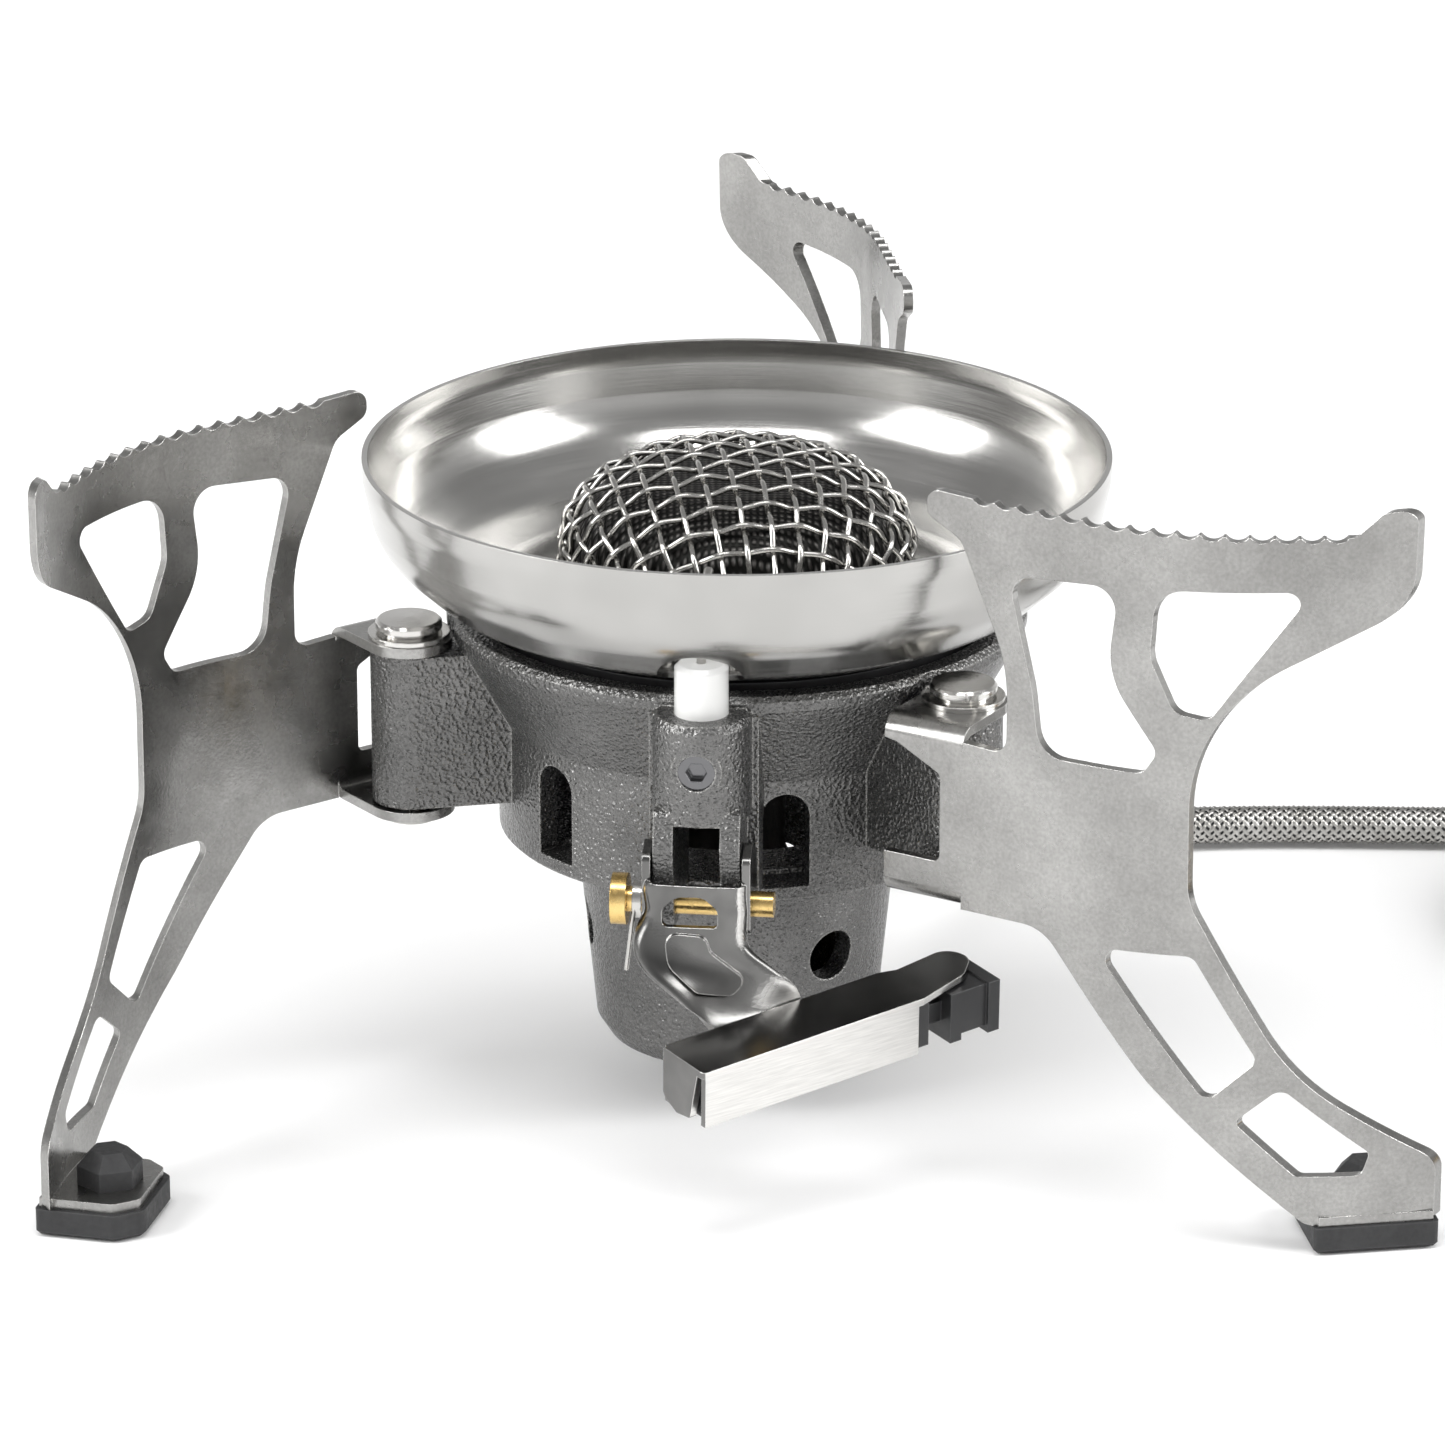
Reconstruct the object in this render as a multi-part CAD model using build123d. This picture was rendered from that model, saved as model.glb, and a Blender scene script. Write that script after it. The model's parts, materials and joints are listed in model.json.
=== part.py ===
from build123d import *
import os
from math import cos, degrees, pi, radians, sin, tan

# Folding gas stove with a remote canister valve. Millimetres, +Z up.
# The origin is on the burner's axis, at the level of the three feet.
# Angles called azimuths are measured about +Z from +X.

# ---- driving dimensions ----
BOWL_RIM_R = 41.0
BOWL_TOP_Z = 73.0
BOWL_FLOOR_Z = 56.3
SHEET_BOWL = 0.6

CASTING_RING_R = 32.0
CASTING_RING_TOP = 56.0
CASTING_WALL = 2.4
CUP_TOP_R = 18.0
CUP_LOW_R = 15.6
CUP_BOTTOM_Z = 5.0
DECK_LOW_Z = 50.0
DECK_TOP_Z = 53.0
BELL_R = 26.4
BELL_LOW_Z = 30.3
BELL_TOP_Z = 44.2
SLOT_WIDTH = 5.4
SLOT_LOW_Z = 32.0
SLOT_TOP_Z = 42.8
FIRST_SLOT_AZIMUTH = 221.4
AIR_HOLE_R = 2.9
AIR_HOLE_Z = 19.0

PIN_CIRCLE_R = 36.53
PIN_AZIMUTHS = {"left": 191.4, "right": 311.4, "back": 71.4}
LEG_REST_SWING = {"left": 0.0, "right": -7.4, "back": 2.0}
PIN_R = 2.2
PIN_CLEARANCE = 0.05
RIVET_HEAD_Z = 54.9
LUG_R = 4.3
LUG_LOW_Z = 35.5
LUG_TOP_Z = 53.0

LEG_SHEET = 1.1
LEG_DIRECTION = 24.6
LEG_FACE_OFFSET = 8.48
LEG_START_X = 5.26
LEG_STRAIGHT = 14.0
LEG_BEND_1_END = 32.0
LEG_BEND_1_R = 38.3
LEG_BEND_2_R = 62.1
LEG_LENGTH = 58.0
TAB_HALF_WIDTH = 4.75
TAB_TOP_Z = 54.3
TAB_LOW_Z = 34.1
TOOTH_Z = 80.3
TOOTH_COUNT = 16
TOOTH_PITCH = 2.6
FOOT_Z = 3.0

IGNITER_AZIMUTH = 263.5
IGNITER_BOSS_R = 5.2
IGNITER_BOSS_CENTRE_R = 33.2
CERAMIC_R = 2.9
ELECTRODE_R = 0.5
ELECTRODE_TIP_R = 26.6
ELECTRODE_TIP_Z = 68.5
GRUB_SCREW_Z = 49.8
GRUB_SCREW_R = 2.0
LEVER_PIN_RADIUS_FROM_AXIS = 35.0
LEVER_PIN_Z = 34.0
LEVER_PIN_R = 1.4
LEVER_SHEET = 0.8
CHANNEL_LENGTH = 28.4
CHANNEL_WIDTH = 7.5
CHANNEL_DEPTH = 6.6
CHANNEL_CORNER = (-3.5, -54.5, 22.4)
CHANNEL_ALONG = Vector(0.81, 0.585, 0.053)
CHANNEL_BACK = Vector(-0.585, 0.81, 0.087)
NECK_LEFT_ON_CHANNEL = 6.9
NECK_RIGHT_ON_CHANNEL = 18.6

DOME_R = 20.2
DOME_TOP_Z = 73.4
BURNER_TUBE_R = 13.0

HOSE_D = 4.9
FERRULE_R = 3.3
HOSE_EXIT_AZIMUTH = 72.0
HOSE_EXIT_R = 24.0
HOSE_EXIT_Z = 12.0
COIL_CENTRE = (118.0, 40.0)
COIL_R = 28.0

# Hose route from the inlet fitting to the coil: down behind the casting to the
# ground and away to the right.
HOSE_ROUTE = [
    (7.42, 22.83, 12.0),
    (10.66, 32.81, 12.0),
    (15.8, 43.6, 11.0),
    (23.4, 53.6, 8.4),
    (33.8, 61.6, 5.2),
    (46.0, 66.6, 3.0),
    (59.0, 68.8, 2.5),
    (72.4, 68.9, 2.5),
    (85.0, 68.4, 2.5),
    (96.8, 68.2, 2.5),
    (107.6, 68.0, 2.5),
    (118.0, 68.0, 2.5),
]

THREAD_R = 5.56
VALVE_X = 146.0
VALVE_Y = -6.0
VALVE_AXIS_Z = 7.5
COLLAR_R = 12.5
COLLAR_TOP_Z = 22.0
COLLAR_LOW_Z = 12.0
SOCKET_DEPTH = 8.5
SPINDLE_R = 2.0
HANDLE_WIRE_R = 0.9
HANDLE_PIVOT_Y = -16.0


# ---- helpers ----
def polar(radius, azimuth, z=0.0):
    """Point at a radius and azimuth about the stove's axis."""
    return (radius * cos(radians(azimuth)), radius * sin(radians(azimuth)), z)


def rod(start, end, radius, end_radius=None):
    """Round bar, or a cone when end_radius is given, from start to end."""
    axis = Vector(*end) - Vector(*start)
    plane = Plane(origin=start, z_dir=axis)
    if end_radius is None:
        body = Cylinder(radius, axis.length, align=(Align.CENTER, Align.CENTER, Align.MIN))
    else:
        body = Cone(radius, end_radius, axis.length, align=(Align.CENTER, Align.CENTER, Align.MIN))
    return plane * body


def rounded_face(corners):
    """Flat face from corners given as (x, y, corner radius)."""
    outline = FilletPolyline(
        *[(x, y) for x, y, r in corners],
        radius=[r for x, y, r in corners],
        close=True,
    )
    return make_face(outline)


def turned(profile):
    """Solid of revolution about +Z from (radius, z) corners."""
    return revolve(Plane.XZ * make_face(Polyline(*profile, close=True)), Axis.Z)


def upright_plane(corners, depth):
    """Prism of an outline in x and z, running the given depth each way in y."""
    return extrude(Plane.XZ * rounded_face(corners), depth, both=True)


def box_between(low, high):
    """Box from its lowest corner to its highest."""
    size = [b - a for a, b in zip(low, high)]
    middle = [(a + b) / 2 for a, b in zip(low, high)]
    return Pos(*middle) * Box(*size)


# ---- burner casting ----
def lug_block(azimuth):
    """Hinge lug: a round-nosed, parallel-sided block that runs into the casting."""
    nose = Pos(PIN_CIRCLE_R, 0) * Circle(LUG_R)
    root = Pos((PIN_CIRCLE_R + 20.5) / 2, 0) * Rectangle(PIN_CIRCLE_R - 20.5, 2 * LUG_R)
    block = extrude(Pos(0, 0, LUG_LOW_Z) * (nose + root), LUG_TOP_Z - LUG_LOW_Z)
    return Rot(0, 0, azimuth) * block


def igniter_boss():
    """Boss for the ceramic, with the fork that carries the lever below it."""
    boss = Pos(IGNITER_BOSS_CENTRE_R, 0, 43.7) * Cylinder(
        IGNITER_BOSS_R, 11.2, align=(Align.CENTER, Align.CENTER, Align.MIN))
    boss -= Pos(IGNITER_BOSS_CENTRE_R, 0, 54.9) * (
        Cylinder(8.0, 1.6) - Cone(IGNITER_BOSS_R, IGNITER_BOSS_R - 0.8, 1.6))
    pad = Plane(origin=(37.0, 0, GRUB_SCREW_Z), z_dir=(1, 0, 0)) * Cylinder(2.75, 1.9)
    web = box_between((22.4, -IGNITER_BOSS_R, 43.7), (IGNITER_BOSS_CENTRE_R, IGNITER_BOSS_R, 54.5))
    back = box_between((22.4, -5.9, 33.0), (31.2, 5.9, 54.0))
    cheeks = upright_plane([
        (22.4, 31.3, 0.5), (37.7, 31.3, 2.65), (37.6, 37.4, 1.6), (38.6, 41.0, 1.8),
        (37.6, 45.0, 0.8), (22.4, 46.5, 0.5)], 4.65)
    gap = box_between((20.0, -2.5, 30.0), (45.0, 2.5, 43.6))
    return Rot(0, 0, IGNITER_AZIMUTH) * (boss + pad + web + back + cheeks - gap)


def inner_hollow():
    """Space inside the casting, below and above its deck."""
    wall = CASTING_WALL
    below = turned([
        (0, CUP_BOTTOM_Z + 2.6), (CUP_LOW_R - 4.2, CUP_BOTTOM_Z + 2.6),
        (CUP_LOW_R - wall, CUP_BOTTOM_Z + 5.0), (CUP_TOP_R - wall, BELL_LOW_Z + 2.0),
        (BELL_R - wall, BELL_LOW_Z + 2.2), (BELL_R - wall, BELL_TOP_Z - 0.6),
        (27.6, DECK_LOW_Z), (0, DECK_LOW_Z)])
    above = turned([(0, DECK_TOP_Z), (29.4, DECK_TOP_Z), (29.4, 60.0), (0, 60.0)])
    return below + above


def burner_casting():
    """Cast body: sloped ring, slotted bell, cup, three hinge lugs and the igniter's boss."""
    outside = [
        (0, CUP_BOTTOM_Z), (CUP_LOW_R - 3.6, CUP_BOTTOM_Z), (CUP_LOW_R - 1.1, CUP_BOTTOM_Z + 0.9),
        (CUP_LOW_R + 0.1, CUP_BOTTOM_Z + 2.8), (CUP_TOP_R, BELL_LOW_Z + 0.3),
        (BELL_R - 0.4, BELL_LOW_Z), (BELL_R, BELL_LOW_Z + 0.4), (BELL_R, BELL_TOP_Z),
        (CASTING_RING_R - 0.3, CASTING_RING_TOP - 2.2), (CASTING_RING_R, CASTING_RING_TOP - 1.6),
        (CASTING_RING_R, CASTING_RING_TOP - 0.6), (CASTING_RING_R - 0.6, CASTING_RING_TOP),
        (0, CASTING_RING_TOP)]
    body = turned(outside)
    for azimuth in PIN_AZIMUTHS.values():
        body += lug_block(azimuth)
    body += igniter_boss()
    body -= inner_hollow()
    opening = box_between((20.0, -2.5, 33.0), (32.0, 2.5, 43.6))
    body -= Rot(0, 0, IGNITER_AZIMUTH) * opening
    body -= Pos(0, 0, DECK_LOW_Z - 1) * Cylinder(
        BURNER_TUBE_R + 0.02, 6.0, align=(Align.CENTER, Align.CENTER, Align.MIN))
    arch = draught_slot()
    for step in range(6):
        body -= Rot(0, 0, FIRST_SLOT_AZIMUTH + 60 * step) * arch
    for azimuth in PIN_AZIMUTHS.values():
        hole_at = azimuth - 3.0
        body -= rod(polar(8.0, hole_at, AIR_HOLE_Z), polar(30.0, hole_at, AIR_HOLE_Z), AIR_HOLE_R)
        centre = polar(PIN_CIRCLE_R, azimuth, 30.0)
        body -= Pos(*centre) * Cylinder(
            PIN_R + PIN_CLEARANCE, 30.0, align=(Align.CENTER, Align.CENTER, Align.MIN))
        over_lug = polar(PIN_CIRCLE_R, azimuth, LUG_TOP_Z)
        body -= Pos(*over_lug) * Cylinder(
            TAB_HALF_WIDTH + 0.5, 10.0, align=(Align.CENTER, Align.CENTER, Align.MIN))
    hose_exit = polar(22.0, HOSE_EXIT_AZIMUTH, HOSE_EXIT_Z)
    body -= rod(polar(9.0, HOSE_EXIT_AZIMUTH, HOSE_EXIT_Z), hose_exit, 3.5)
    ceramic_at = polar(IGNITER_BOSS_CENTRE_R, IGNITER_AZIMUTH)
    body -= rod((ceramic_at[0], ceramic_at[1], 43.0), (ceramic_at[0], ceramic_at[1], 60.0), CERAMIC_R)
    screw_start = polar(34.0, IGNITER_AZIMUTH, GRUB_SCREW_Z)
    body -= rod(screw_start, polar(42.0, IGNITER_AZIMUTH, GRUB_SCREW_Z), GRUB_SCREW_R)
    body -= lever_pin_bar(LEVER_PIN_R, -6.0, 6.0)
    return body


def draught_slot():
    """Arch-topped cutter for one draught slot, pointing along +X."""
    half = SLOT_WIDTH / 2
    low = box_between((22.0, -half, SLOT_LOW_Z), (40.0, half, SLOT_TOP_Z - half))
    top = rod((22.0, 0, SLOT_TOP_Z - half), (40.0, 0, SLOT_TOP_Z - half), half)
    return low + top


# ---- burner ----
def bowl_profile(thin):
    """Outer or inner line of the bowl's wall, from the floor to the rim."""
    return [
        (0.0, BOWL_FLOOR_Z + thin, 0),
        (27.0 - 0.2 * thin, BOWL_FLOOR_Z + thin, 8.0),
        (33.6 - 0.5 * thin, BOWL_FLOOR_Z + 2.4 + 0.8 * thin, 7.0),
        (39.6 - 0.9 * thin, 64.2 + 0.4 * thin, 9.0),
        (BOWL_RIM_R - thin, 71.0, 6.0),
        (BOWL_RIM_R - thin, BOWL_TOP_Z + (5.0 if thin else 0.0), 0),
        (0.0, BOWL_TOP_Z + (5.0 if thin else 0.0), 0),
    ]


def burner_bowl():
    """Pressed wind bowl with a hole over the igniter's ceramic."""
    outer = revolve(Plane.XZ * rounded_face(bowl_profile(0.0)), Axis.Z)
    inner = revolve(Plane.XZ * rounded_face(bowl_profile(SHEET_BOWL)), Axis.Z)
    bowl = outer - inner
    bowl -= rod((0, 0, 50.0), (0, 0, 62.0), BURNER_TUBE_R + 0.02)
    notch = polar(IGNITER_BOSS_CENTRE_R, IGNITER_AZIMUTH)
    bowl -= rod((notch[0], notch[1], 52.0), (notch[0], notch[1], 66.0), 4.7)
    return bowl


def bowl_seat_ring():
    """Dark ring that carries the bowl on the casting's deck."""
    return turned([(20.0, DECK_TOP_Z), (28.0, DECK_TOP_Z), (28.0, BOWL_FLOOR_Z), (20.0, BOWL_FLOOR_Z)])


def burner_head():
    """Flanged throat that clamps the bowl and carries the mesh."""
    floor = BOWL_FLOOR_Z + SHEET_BOWL
    return turned([
        (11.4, 47.0), (BURNER_TUBE_R, 47.0), (BURNER_TUBE_R, floor), (19.6, floor),
        (19.6, floor + 1.0), (11.4, floor + 1.0)])


def burner_ring_nut():
    """Round nut below the deck that draws the burner head down."""
    nut = Pos(0, 0, 47.2) * Cylinder(17.0, DECK_LOW_Z - 47.2, align=(Align.CENTER, Align.CENTER, Align.MIN))
    nut -= Pos(0, 0, 45) * Cylinder(BURNER_TUBE_R, 10, align=(Align.CENTER, Align.CENTER, Align.MIN))
    for azimuth in (0, 90, 180, 270):
        nut -= Rot(0, 0, azimuth) * Pos(17.0, 0, 48.6) * Box(3.0, 3.0, 4.0)
    return nut


def mixing_tube():
    """Venturi tube that carries gas and air up to the burner head."""
    return turned([
        (6.4, 23.0), (7.2, 23.0), (5.4, 27.0), (5.4, 36.0), (7.6, 44.0), (11.4, 49.0),
        (11.4, 52.0), (10.6, 52.0), (10.6, 49.4), (6.8, 44.4), (4.6, 36.2), (4.6, 26.8)])


def domed_shell(radius, top_z, low_z, thickness):
    """Flattened dome, open below."""
    corner = 0.42 * radius

    def solid(r, top, low):
        face = rounded_face([
            (0, low, 0), (r, low, 0), (r, top - 2.4, corner), (r * 0.56, top, corner), (0, top, 0)])
        return revolve(Plane.XZ * face, Axis.Z)

    return solid(radius, top_z, low_z) - solid(radius - thickness, top_z - thickness, low_z - 1.0)


def flame_spreader():
    """Pierced disc across the burner head, under the gauze."""
    disc = Pos(0, 0, 57.9) * Cylinder(17.2, 0.6, align=(Align.CENTER, Align.CENTER, Align.MIN))
    holes = Sketch()
    for ring_radius, count in ((5.0, 6), (10.0, 12), (14.4, 18)):
        for step in range(count):
            holes += Pos(*polar(ring_radius, 360 * step / count)[:2]) * Circle(0.9)
    return disc - extrude(Pos(0, 0, 57.0) * holes, 3.0)


# ---- gas path in the cup ----
def jet_holder():
    """Brass block on the cup's floor that turns the gas upwards."""
    block = rod((0, 0, CUP_BOTTOM_Z + 2.6), (0, 0, CUP_BOTTOM_Z + 10.6), 5.0)
    block -= rod((0, 0, HOSE_EXIT_Z), (0, 0, HOSE_EXIT_Z + 6.0), 1.9)
    block -= rod(polar(0, 0, HOSE_EXIT_Z), polar(8.0, HOSE_EXIT_AZIMUTH, HOSE_EXIT_Z), 1.2)
    return block


def gas_jet():
    """Jet with its fine central hole, screwed into the holder."""
    jet = Pos(0, 0, 12.6) * Cylinder(1.9, 3.0, align=(Align.CENTER, Align.CENTER, Align.MIN))
    hexagon = extrude(Pos(0, 0, 15.6) * RegularPolygon(2.9, 6), 3.0)
    nose = Pos(0, 0, 18.6) * Cone(2.0, 1.2, 1.6, align=(Align.CENTER, Align.CENTER, Align.MIN))
    hole = Pos(0, 0, 12.0) * Cylinder(0.25, 10, align=(Align.CENTER, Align.CENTER, Align.MIN))
    return jet + hexagon + nose - hole


def inlet_fitting():
    """Brass union through the cup's wall, between the jet holder and the hose."""
    tube = rod(polar(4.4, HOSE_EXIT_AZIMUTH, HOSE_EXIT_Z), polar(19.0, HOSE_EXIT_AZIMUTH, HOSE_EXIT_Z), 3.0)
    flange = Plane(origin=polar(18.0, HOSE_EXIT_AZIMUTH, HOSE_EXIT_Z),
                   z_dir=polar(1, HOSE_EXIT_AZIMUTH)) * extrude(RegularPolygon(4.6, 6), 3.4)
    bore = rod(polar(3.0, HOSE_EXIT_AZIMUTH, HOSE_EXIT_Z), polar(23.0, HOSE_EXIT_AZIMUTH, HOSE_EXIT_Z), 1.2)
    holder = Cylinder(5.0, 60.0)
    return tube + flange - bore - holder


def stove_ferrule():
    """Crimped sleeve that holds the hose on the inlet union."""
    start = polar(21.4, HOSE_EXIT_AZIMUTH, HOSE_EXIT_Z)
    return rod(start, polar(HOSE_EXIT_R, HOSE_EXIT_AZIMUTH, HOSE_EXIT_Z), FERRULE_R)


# ---- igniter ----
def ceramic_insulator():
    """White ceramic sleeve with the electrode's hole."""
    x, y, z = polar(IGNITER_BOSS_CENTRE_R, IGNITER_AZIMUTH)
    body = rod((x, y, 44.2), (x, y, 60.0), CERAMIC_R)
    body += rod((x, y, 60.0), (x, y, 60.5), CERAMIC_R, CERAMIC_R - 0.5)
    return body - rod((x, y, 44.0), (x, y, 62.0), ELECTRODE_R)


def spark_electrode():
    """Electrode wire: up through the ceramic into the bowl, then bent over towards the mesh."""
    foot = polar(IGNITER_BOSS_CENTRE_R, IGNITER_AZIMUTH, 43.9)
    bend = polar(IGNITER_BOSS_CENTRE_R, IGNITER_AZIMUTH, ELECTRODE_TIP_Z - 1.9)
    tip = polar(ELECTRODE_TIP_R, IGNITER_AZIMUTH, ELECTRODE_TIP_Z)
    path = FilletPolyline(foot, bend, tip, radius=1.8)
    return sweep(Plane(origin=foot) * Circle(ELECTRODE_R), path=path)


def grub_screw():
    """Socket set screw that clamps the ceramic."""
    start = polar(IGNITER_BOSS_CENTRE_R + CERAMIC_R + 0.02, IGNITER_AZIMUTH, GRUB_SCREW_Z)
    end = polar(38.0, IGNITER_AZIMUTH, GRUB_SCREW_Z)
    socket_floor = Plane(
        origin=polar(37.0, IGNITER_AZIMUTH, GRUB_SCREW_Z), z_dir=polar(1, IGNITER_AZIMUTH))
    return rod(start, end, GRUB_SCREW_R) - socket_floor * extrude(RegularPolygon(1.15, 6), 3.0)


def lever_pin_bar(radius, start, end):
    """Bar on the lever's hinge axis, between two distances along it."""
    centre = Vector(*polar(LEVER_PIN_RADIUS_FROM_AXIS, IGNITER_AZIMUTH, LEVER_PIN_Z))
    along = Vector(*polar(1, IGNITER_AZIMUTH + 90))
    return rod(tuple(centre + along * start), tuple(centre + along * end), radius)


def lever_pin():
    """Brass rivet through the fork: wide head on the left, small end on the right."""
    return lever_pin_bar(LEVER_PIN_R, -8.2, 8.0) + lever_pin_bar(2.8, -9.4, -7.7)


def lever_spring():
    """Wire spring on the rivet: two close turns and one hanging leg."""
    turns = lever_pin_bar(2.05, -7.1, -6.05) - lever_pin_bar(LEVER_PIN_R, -8.0, -5.0)
    centre = Vector(*polar(LEVER_PIN_RADIUS_FROM_AXIS, IGNITER_AZIMUTH, LEVER_PIN_Z))
    along = Vector(*polar(1, IGNITER_AZIMUTH + 90))
    top = centre + along * -6.8 + Vector(*polar(1.78, IGNITER_AZIMUTH))
    foot = top + Vector(-0.9, 0.4, -7.6)
    return turns + rod(tuple(top), tuple(foot), 0.25)


# In LEVER_FRAME x runs along the hinge to the right, y points back to the stove and z up.
# In CHANNEL_FRAME x runs along the igniter's channel, y from its front edge to its back.
LEVER_FRAME = Plane(
    origin=polar(LEVER_PIN_RADIUS_FROM_AXIS, IGNITER_AZIMUTH, LEVER_PIN_Z),
    x_dir=polar(1, IGNITER_AZIMUTH + 90),
    z_dir=(0, 0, 1),
)
CHANNEL_FRAME = Plane(
    origin=CHANNEL_CORNER,
    x_dir=CHANNEL_ALONG,
    z_dir=CHANNEL_ALONG.cross(CHANNEL_BACK),
)


def lever_bracket():
    """Stamped lever: two ears on the rivet, a curved neck, and the igniter's channel."""
    ears = LEVER_FRAME * (Pos(-5.8, 0, 0) * upright_ear() + Pos(4.9, 0, 0) * upright_ear())
    window = LEVER_FRAME * extrude(Plane.XZ * rounded_face([
        (-3.5, -1.1, 0.7), (2.4, -1.1, 0.5), (2.5, 0.9, 1.2), (0.9, 2.35, 1.6),
        (-1.9, 2.3, 1.6), (-3.5, 0.9, 1.2)]), 8.0)
    sheet = LEVER_SHEET
    top = CHANNEL_FRAME * Pos(0, 0, -sheet) * extrude(rounded_face([
        (0, 0, 0.6), (CHANNEL_LENGTH + 0.6, 0, 0.4), (CHANNEL_LENGTH + 7.6, 2.0, 2.4),
        (CHANNEL_LENGTH + 10.4, 4.6, 2.0), (CHANNEL_LENGTH + 9.6, CHANNEL_WIDTH + 0.3, 2.2),
        (CHANNEL_LENGTH + 2.2, CHANNEL_WIDTH - 0.6, 1.0), (CHANNEL_LENGTH, CHANNEL_WIDTH, 0.6),
        (0, CHANNEL_WIDTH, 1.0)]), sheet)
    front_wall = CHANNEL_FRAME * box_between((0.3, 0, -CHANNEL_DEPTH), (CHANNEL_LENGTH, sheet, 0))
    back_wall = CHANNEL_FRAME * box_between(
        (0.4, CHANNEL_WIDTH - sheet, -CHANNEL_DEPTH), (CHANNEL_LENGTH, CHANNEL_WIDTH, 0))
    flap_outline = rounded_face([
        (1.0, 0, 0.3), (2.4, -CHANNEL_DEPTH + 0.2, 0.4), (4.8, -CHANNEL_DEPTH - 0.2, 0.8),
        (CHANNEL_WIDTH - 0.2, -CHANNEL_DEPTH + 0.9, 1.0), (CHANNEL_WIDTH - 0.2, 0, 0.3)])
    flap = CHANNEL_FRAME * extrude(Plane.YZ * flap_outline, sheet)
    body = ears + lever_neck(sheet) - window
    body += top + front_wall + back_wall + flap + lever_rib()
    return body


def upright_ear():
    """Side ear of the lever, pierced for the rivet, from x = 0 to a little over the sheet's thickness."""
    shape = rounded_face([
        (-3.6, 6.2, 0.9), (-0.6, 7.3, 1.0), (2.6, 5.4, 2.0), (3.6, 0.5, 2.4),
        (2.4, -3.0, 2.0), (-3.3, -2.4, 0.8)])
    shape -= Circle(LEVER_PIN_R + PIN_CLEARANCE)
    return extrude(Plane.YZ * shape, LEVER_SHEET + 0.1)


# Rows across the neck's mid surface in LEVER_FRAME, from the fork down to the channel:
# left end, right end, and how far the row's two ends turn back towards the stove.
NECK_ROWS = [
    ((-5.35, -4.35, 3.5), (5.35, -4.35, 3.5), 2.3),
    ((-5.4, -4.45, 1.0), (5.35, -4.4, 1.0), 2.3),
    ((-5.9, -4.75, -1.6), (5.1, -4.45, -1.6), 1.5),
    ((-6.2, -5.5, -3.9), (5.6, -4.3, -3.9), 0.8),
    ((-4.9, -6.5, -5.7), (7.2, -3.8, -5.5), 0.5),
    ((-2.6, -7.6, -7.2), (8.8, -3.2, -6.9), 0.4),
    ((-0.6, -8.4, -8.6), (10.0, -2.4, -8.2), 0.3),
    ((1.3, -8.8, -10.1), (10.7, -1.5, -9.7), 0.1),
]


def neck_face():
    """Mid surface of the neck, with its sides turned back beside the ears."""
    across = [(0.0, 1.0), (0.03, 0.42), (0.12, 0.06), (0.5, 0.0), (0.88, 0.06), (0.97, 0.42), (1.0, 1.0)]
    rows = []
    for left, right, turn_back in NECK_ROWS:
        start, end = Vector(*left), Vector(*right)
        rows.append([
            LEVER_FRAME.from_local_coords(start + (end - start) * part + Vector(0, turn_back * share, 0))
            for part, share in across])
    for back in (CHANNEL_WIDTH + 0.6, CHANNEL_WIDTH - 1.0):
        start = Vector(NECK_LEFT_ON_CHANNEL, back, -LEVER_SHEET / 2)
        end = Vector(NECK_RIGHT_ON_CHANNEL, back, -LEVER_SHEET / 2)
        rows.append([
            CHANNEL_FRAME.from_local_coords(start + (end - start) * part) for part, share in across])
    return Face.make_surface_from_array_of_points(rows, tol=0.02)


def lever_neck(thickness):
    """Curved plate from the ears down to the back edge of the channel's top."""
    return thicken(neck_face(), thickness / 2, both=True)


def lever_rib():
    """Stiffening rib raised on the front of the neck, wide at the top and bent to the right."""
    outline = rounded_face([
        (-3.2, -1.9, 1.2), (-1.6, -1.7, 0.8), (1.3, -1.9, 1.3), (1.7, -3.6, 1.6),
        (5.6, -6.7, 0.9), (4.3, -8.1, 1.2), (0.6, -7.4, 1.6), (-2.7, -5.0, 2.0)])
    prism = LEVER_FRAME * extrude(Plane.XZ * outline, 9.4)
    behind = LEVER_FRAME * extrude(Plane.XZ * outline, 4.5)
    return lever_neck(LEVER_SHEET + 0.9) & (prism - behind)


def piezo_body():
    """Piezo unit held in the channel, with the button's guide in its end."""
    gap = 0.05
    body = CHANNEL_FRAME * box_between(
        (1.2, LEVER_SHEET + gap, -CHANNEL_DEPTH + 0.2),
        (CHANNEL_LENGTH + 2.0, CHANNEL_WIDTH - LEVER_SHEET - gap, -LEVER_SHEET - gap))
    guide = CHANNEL_FRAME * box_between((24.0, 1.9, -5.2), (CHANNEL_LENGTH + 4.0, 5.6, -2.2))
    return body - guide


def piezo_button():
    """Stepped button that slides in the piezo unit and fires the spark."""
    stem = CHANNEL_FRAME * box_between((27.7, 2.2, -4.9), (34.0, 5.3, -2.5))
    block = CHANNEL_FRAME * box_between((33.1, 0.5, -7.0), (37.9, 6.7, -1.1))
    block -= CHANNEL_FRAME * box_between((34.6, 0, -8.0), (38.5, 8.0, -6.2))
    face = CHANNEL_FRAME * box_between((37.9, 0.1, -7.0), (39.4, 7.1, -0.9))
    return stem + block + face


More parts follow.
